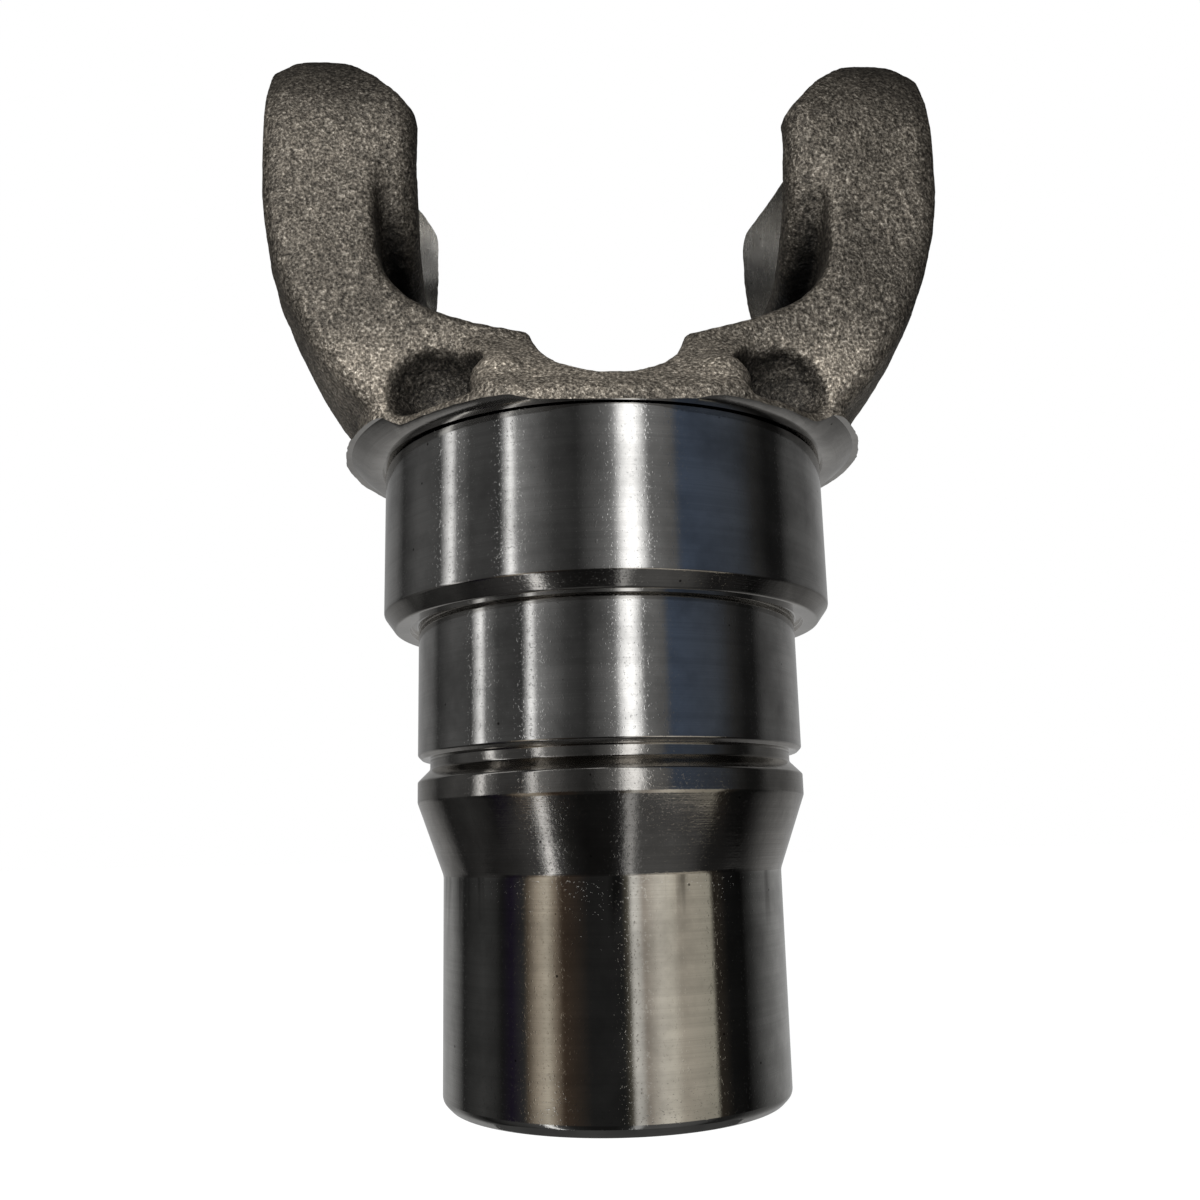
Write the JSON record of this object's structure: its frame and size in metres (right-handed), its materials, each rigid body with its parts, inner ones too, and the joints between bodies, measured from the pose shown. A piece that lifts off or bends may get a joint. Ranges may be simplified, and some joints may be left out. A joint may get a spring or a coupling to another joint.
{
  "type": "forged yoke",
  "caption": "Forged steel drive-shaft fork with a cross bore through both ears and a stepped, ground and internally splined shank.",
  "frame": {"origin": "centre of the shank's end face", "axes": "+Z along the shank towards the fork, X along the cross bore, Y across the ears' flanks"},
  "size_m": [0.1116, 0.077, 0.1787],
  "materials": {
    "steel": "shot-blasted forging with turned and ground journals"
  },
  "bodies": {
    "root": {"yoke": "steel"}
  },
  "joints": []
}
